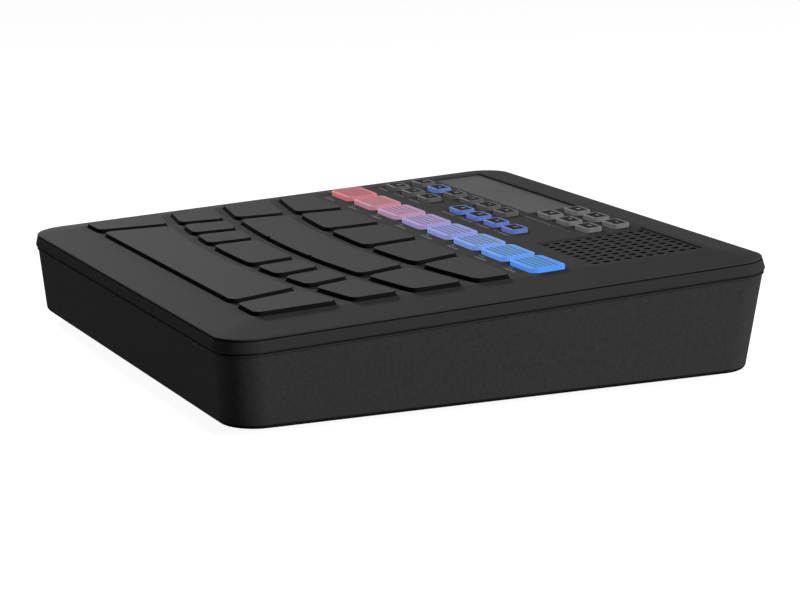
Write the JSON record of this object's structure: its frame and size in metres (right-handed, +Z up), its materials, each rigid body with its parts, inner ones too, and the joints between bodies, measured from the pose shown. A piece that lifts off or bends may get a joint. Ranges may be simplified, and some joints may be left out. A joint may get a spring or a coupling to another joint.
{
  "type": "finger drum pad",
  "caption": "Wedge-shaped finger drum instrument with bowed rows of touch pads, a row of lit pads, push buttons, a smoked display window and a speaker grille.",
  "frame": {"origin": "centre of the footprint on the surface that the feet stand on", "axes": "+Z up, the player stands at -Y, the rear sockets face +Y, +X to the player's right"},
  "size_m": [0.24, 0.22, 0.0498],
  "materials": {
    "case_top": "fine matte texture",
    "case_bottom": "moulded leather-like texture",
    "pad": "soft matte silicone",
    "window": "smoked, polished",
    "display": "dark panel",
    "speaker": "paper cone in a steel basket",
    "board": "green solder mask",
    "sensor": "printed film",
    "membrane": "translucent silicone",
    "socket": "stamped shells and black jacks",
    "battery": "wrapped cells",
    "knob": "ribbed edge",
    "foot": "matte",
    "screw": "dark zinc",
    "button": "translucent grey with a dark face",
    "button_lit": "translucent, lit blue",
    "light_1": "translucent, lit red",
    "light_2": "translucent, lit coral",
    "light_3": "translucent, lit pink",
    "light_4": "translucent, lit lilac",
    "light_5": "translucent, lit periwinkle",
    "light_6": "translucent, lit blue",
    "light_7": "translucent, lit azure",
    "light_8": "translucent, lit bright azure"
  },
  "bodies": {
    "case": {"upper_case": "case_top", "lower_case": "case_bottom", "display_window": "window", "display_module": "display", "speaker": "speaker", "panel_board": "board", "sensor_sheet": "sensor", "key_membrane": "membrane", "main_board": "board", "rear_sockets": "socket", "battery": "battery", "feet": "foot", "case_screws": "screw"},
    "volume_wheel": {"volume_wheel": "knob"},
    "power_slider": {"power_slider": "knob"},
    "drum_pad_1": {"drum_pad_1": "pad"},
    "drum_pad_2": {"drum_pad_2": "pad"},
    "drum_pad_3": {"drum_pad_3": "pad"},
    "drum_pad_4": {"drum_pad_4": "pad"},
    "drum_pad_5": {"drum_pad_5": "pad"},
    "drum_pad_6": {"drum_pad_6": "pad"},
    "drum_pad_7": {"drum_pad_7": "pad"},
    "drum_pad_8": {"drum_pad_8": "pad"},
    "drum_pad_9": {"drum_pad_9": "pad"},
    "drum_pad_10": {"drum_pad_10": "pad"},
    "drum_pad_11": {"drum_pad_11": "pad"},
    "drum_pad_12": {"drum_pad_12": "pad"},
    "drum_pad_13": {"drum_pad_13": "pad"},
    "drum_pad_14": {"drum_pad_14": "pad"},
    "drum_pad_15": {"drum_pad_15": "pad"},
    "drum_pad_16": {"drum_pad_16": "pad"},
    "drum_pad_17": {"drum_pad_17": "pad"},
    "drum_pad_18": {"drum_pad_18": "pad"},
    "light_pad_1": {"light_pad_1": "light_1"},
    "light_pad_2": {"light_pad_2": "light_2"},
    "light_pad_3": {"light_pad_3": "light_3"},
    "light_pad_4": {"light_pad_4": "light_4"},
    "light_pad_5": {"light_pad_5": "light_5"},
    "light_pad_6": {"light_pad_6": "light_6"},
    "light_pad_7": {"light_pad_7": "light_7"},
    "light_pad_8": {"light_pad_8": "light_8"},
    "button_1": {"button_1": "button"},
    "button_2": {"button_2": "button"},
    "button_3": {"button_3": "button"},
    "button_4": {"button_4": "button_lit"},
    "button_5": {"button_5": "button_lit"},
    "button_6": {"button_6": "button_lit"},
    "button_7": {"button_7": "button_lit"},
    "button_8": {"button_8": "button"},
    "button_9": {"button_9": "button_lit"},
    "button_10": {"button_10": "button"},
    "button_11": {"button_11": "button"},
    "button_12": {"button_12": "button"},
    "button_13": {"button_13": "button"},
    "button_14": {"button_14": "button"},
    "button_15": {"button_15": "button"},
    "button_16": {"button_16": "button"},
    "button_17": {"button_17": "button"},
    "button_18": {"button_18": "button"},
    "button_19": {"button_19": "button"}
  },
  "joints": [
    {"name": "drum_pad_1_press", "type": "slide", "parent": "case", "child": "drum_pad_1", "axis": [0, 0.049, -0.9988], "range_m": [0, 0.0005], "stiffness_N_per_m": 2000, "springref_m": -0.0004},
    {"name": "drum_pad_2_press", "type": "slide", "parent": "case", "child": "drum_pad_2", "axis": [0, 0.049, -0.9988], "range_m": [0, 0.0005], "stiffness_N_per_m": 2000, "springref_m": -0.0004},
    {"name": "drum_pad_3_press", "type": "slide", "parent": "case", "child": "drum_pad_3", "axis": [0, 0.049, -0.9988], "range_m": [0, 0.0005], "stiffness_N_per_m": 2000, "springref_m": -0.0004},
    {"name": "drum_pad_4_press", "type": "slide", "parent": "case", "child": "drum_pad_4", "axis": [0, 0.049, -0.9988], "range_m": [0, 0.0005], "stiffness_N_per_m": 2000, "springref_m": -0.0004},
    {"name": "drum_pad_5_press", "type": "slide", "parent": "case", "child": "drum_pad_5", "axis": [0, 0.049, -0.9988], "range_m": [0, 0.0005], "stiffness_N_per_m": 2000, "springref_m": -0.0004},
    {"name": "drum_pad_6_press", "type": "slide", "parent": "case", "child": "drum_pad_6", "axis": [0, 0.049, -0.9988], "range_m": [0, 0.0005], "stiffness_N_per_m": 2000, "springref_m": -0.0004},
    {"name": "drum_pad_7_press", "type": "slide", "parent": "case", "child": "drum_pad_7", "axis": [0, 0.049, -0.9988], "range_m": [0, 0.0005], "stiffness_N_per_m": 2000, "springref_m": -0.0004},
    {"name": "drum_pad_8_press", "type": "slide", "parent": "case", "child": "drum_pad_8", "axis": [0, 0.049, -0.9988], "range_m": [0, 0.0005], "stiffness_N_per_m": 2000, "springref_m": -0.0004},
    {"name": "drum_pad_9_press", "type": "slide", "parent": "case", "child": "drum_pad_9", "axis": [0, 0.049, -0.9988], "range_m": [0, 0.0005], "stiffness_N_per_m": 2000, "springref_m": -0.0004},
    {"name": "drum_pad_10_press", "type": "slide", "parent": "case", "child": "drum_pad_10", "axis": [0, 0.049, -0.9988], "range_m": [0, 0.0005], "stiffness_N_per_m": 2000, "springref_m": -0.0004},
    {"name": "drum_pad_11_press", "type": "slide", "parent": "case", "child": "drum_pad_11", "axis": [0, 0.049, -0.9988], "range_m": [0, 0.0005], "stiffness_N_per_m": 2000, "springref_m": -0.0004},
    {"name": "drum_pad_12_press", "type": "slide", "parent": "case", "child": "drum_pad_12", "axis": [0, 0.049, -0.9988], "range_m": [0, 0.0005], "stiffness_N_per_m": 2000, "springref_m": -0.0004},
    {"name": "drum_pad_13_press", "type": "slide", "parent": "case", "child": "drum_pad_13", "axis": [0, 0.049, -0.9988], "range_m": [0, 0.0005], "stiffness_N_per_m": 2000, "springref_m": -0.0004},
    {"name": "drum_pad_14_press", "type": "slide", "parent": "case", "child": "drum_pad_14", "axis": [0, 0.049, -0.9988], "range_m": [0, 0.0005], "stiffness_N_per_m": 2000, "springref_m": -0.0004},
    {"name": "drum_pad_15_press", "type": "slide", "parent": "case", "child": "drum_pad_15", "axis": [0, 0.049, -0.9988], "range_m": [0, 0.0005], "stiffness_N_per_m": 2000, "springref_m": -0.0004},
    {"name": "drum_pad_16_press", "type": "slide", "parent": "case", "child": "drum_pad_16", "axis": [0, 0.049, -0.9988], "range_m": [0, 0.0005], "stiffness_N_per_m": 2000, "springref_m": -0.0004},
    {"name": "drum_pad_17_press", "type": "slide", "parent": "case", "child": "drum_pad_17", "axis": [0, 0.049, -0.9988], "range_m": [0, 0.0005], "stiffness_N_per_m": 2000, "springref_m": -0.0004},
    {"name": "drum_pad_18_press", "type": "slide", "parent": "case", "child": "drum_pad_18", "axis": [0, 0.049, -0.9988], "range_m": [0, 0.0005], "stiffness_N_per_m": 2000, "springref_m": -0.0004},
    {"name": "light_pad_1_press", "type": "slide", "parent": "case", "child": "light_pad_1", "axis": [0, 0.049, -0.9988], "range_m": [0, 0.0006], "stiffness_N_per_m": 900, "springref_m": -0.0005},
    {"name": "light_pad_2_press", "type": "slide", "parent": "case", "child": "light_pad_2", "axis": [0, 0.049, -0.9988], "range_m": [0, 0.0006], "stiffness_N_per_m": 900, "springref_m": -0.0005},
    {"name": "light_pad_3_press", "type": "slide", "parent": "case", "child": "light_pad_3", "axis": [0, 0.049, -0.9988], "range_m": [0, 0.0006], "stiffness_N_per_m": 900, "springref_m": -0.0005},
    {"name": "light_pad_4_press", "type": "slide", "parent": "case", "child": "light_pad_4", "axis": [0, 0.049, -0.9988], "range_m": [0, 0.0006], "stiffness_N_per_m": 900, "springref_m": -0.0005},
    {"name": "light_pad_5_press", "type": "slide", "parent": "case", "child": "light_pad_5", "axis": [0, 0.049, -0.9988], "range_m": [0, 0.0006], "stiffness_N_per_m": 900, "springref_m": -0.0005},
    {"name": "light_pad_6_press", "type": "slide", "parent": "case", "child": "light_pad_6", "axis": [0, 0.049, -0.9988], "range_m": [0, 0.0006], "stiffness_N_per_m": 900, "springref_m": -0.0005},
    {"name": "light_pad_7_press", "type": "slide", "parent": "case", "child": "light_pad_7", "axis": [0, 0.049, -0.9988], "range_m": [0, 0.0006], "stiffness_N_per_m": 900, "springref_m": -0.0005},
    {"name": "light_pad_8_press", "type": "slide", "parent": "case", "child": "light_pad_8", "axis": [0, 0.049, -0.9988], "range_m": [0, 0.0006], "stiffness_N_per_m": 900, "springref_m": -0.0005},
    {"name": "button_1_press", "type": "slide", "parent": "case", "child": "button_1", "axis": [0, 0.049, -0.9988], "range_m": [0, 0.0008], "stiffness_N_per_m": 600, "springref_m": -0.0005},
    {"name": "button_2_press", "type": "slide", "parent": "case", "child": "button_2", "axis": [0, 0.049, -0.9988], "range_m": [0, 0.0008], "stiffness_N_per_m": 600, "springref_m": -0.0005},
    {"name": "button_3_press", "type": "slide", "parent": "case", "child": "button_3", "axis": [0, 0.049, -0.9988], "range_m": [0, 0.0008], "stiffness_N_per_m": 600, "springref_m": -0.0005},
    {"name": "button_4_press", "type": "slide", "parent": "case", "child": "button_4", "axis": [0, 0.049, -0.9988], "range_m": [0, 0.0008], "stiffness_N_per_m": 600, "springref_m": -0.0005},
    {"name": "button_5_press", "type": "slide", "parent": "case", "child": "button_5", "axis": [0, 0.049, -0.9988], "range_m": [0, 0.0008], "stiffness_N_per_m": 600, "springref_m": -0.0005},
    {"name": "button_6_press", "type": "slide", "parent": "case", "child": "button_6", "axis": [0, 0.049, -0.9988], "range_m": [0, 0.0008], "stiffness_N_per_m": 600, "springref_m": -0.0005},
    {"name": "button_7_press", "type": "slide", "parent": "case", "child": "button_7", "axis": [0, 0.049, -0.9988], "range_m": [0, 0.0008], "stiffness_N_per_m": 600, "springref_m": -0.0005},
    {"name": "button_8_press", "type": "slide", "parent": "case", "child": "button_8", "axis": [0, 0.049, -0.9988], "range_m": [0, 0.0008], "stiffness_N_per_m": 600, "springref_m": -0.0005},
    {"name": "button_9_press", "type": "slide", "parent": "case", "child": "button_9", "axis": [0, 0.049, -0.9988], "range_m": [0, 0.0008], "stiffness_N_per_m": 600, "springref_m": -0.0005},
    {"name": "button_10_press", "type": "slide", "parent": "case", "child": "button_10", "axis": [0, 0.049, -0.9988], "range_m": [0, 0.0008], "stiffness_N_per_m": 600, "springref_m": -0.0005},
    {"name": "button_11_press", "type": "slide", "parent": "case", "child": "button_11", "axis": [0, 0.049, -0.9988], "range_m": [0, 0.0008], "stiffness_N_per_m": 600, "springref_m": -0.0005},
    {"name": "button_12_press", "type": "slide", "parent": "case", "child": "button_12", "axis": [0, 0.049, -0.9988], "range_m": [0, 0.0008], "stiffness_N_per_m": 600, "springref_m": -0.0005},
    {"name": "button_13_press", "type": "slide", "parent": "case", "child": "button_13", "axis": [0, 0.049, -0.9988], "range_m": [0, 0.0008], "stiffness_N_per_m": 600, "springref_m": -0.0005},
    {"name": "button_14_press", "type": "slide", "parent": "case", "child": "button_14", "axis": [0, 0.049, -0.9988], "range_m": [0, 0.0008], "stiffness_N_per_m": 600, "springref_m": -0.0005},
    {"name": "button_15_press", "type": "slide", "parent": "case", "child": "button_15", "axis": [0, 0.049, -0.9988], "range_m": [0, 0.0008], "stiffness_N_per_m": 600, "springref_m": -0.0005},
    {"name": "button_16_press", "type": "slide", "parent": "case", "child": "button_16", "axis": [0, 0.049, -0.9988], "range_m": [0, 0.0008], "stiffness_N_per_m": 600, "springref_m": -0.0005},
    {"name": "button_17_press", "type": "slide", "parent": "case", "child": "button_17", "axis": [0, 0.049, -0.9988], "range_m": [0, 0.0008], "stiffness_N_per_m": 600, "springref_m": -0.0005},
    {"name": "button_18_press", "type": "slide", "parent": "case", "child": "button_18", "axis": [0, 0.049, -0.9988], "range_m": [0, 0.0008], "stiffness_N_per_m": 600, "springref_m": -0.0005},
    {"name": "button_19_press", "type": "slide", "parent": "case", "child": "button_19", "axis": [0, 0.049, -0.9988], "range_m": [0, 0.0008], "stiffness_N_per_m": 600, "springref_m": -0.0005},
    {"name": "volume_turn", "type": "hinge", "parent": "case", "child": "volume_wheel", "pos_m": [-0.078, 0.098, 0.0192], "axis": [0, 0, 1], "range_deg": [-140, 140]},
    {"name": "power_slide", "type": "slide", "parent": "case", "child": "power_slider", "axis": [1, 0, 0], "range_m": [0, 0.004]}
  ]
}
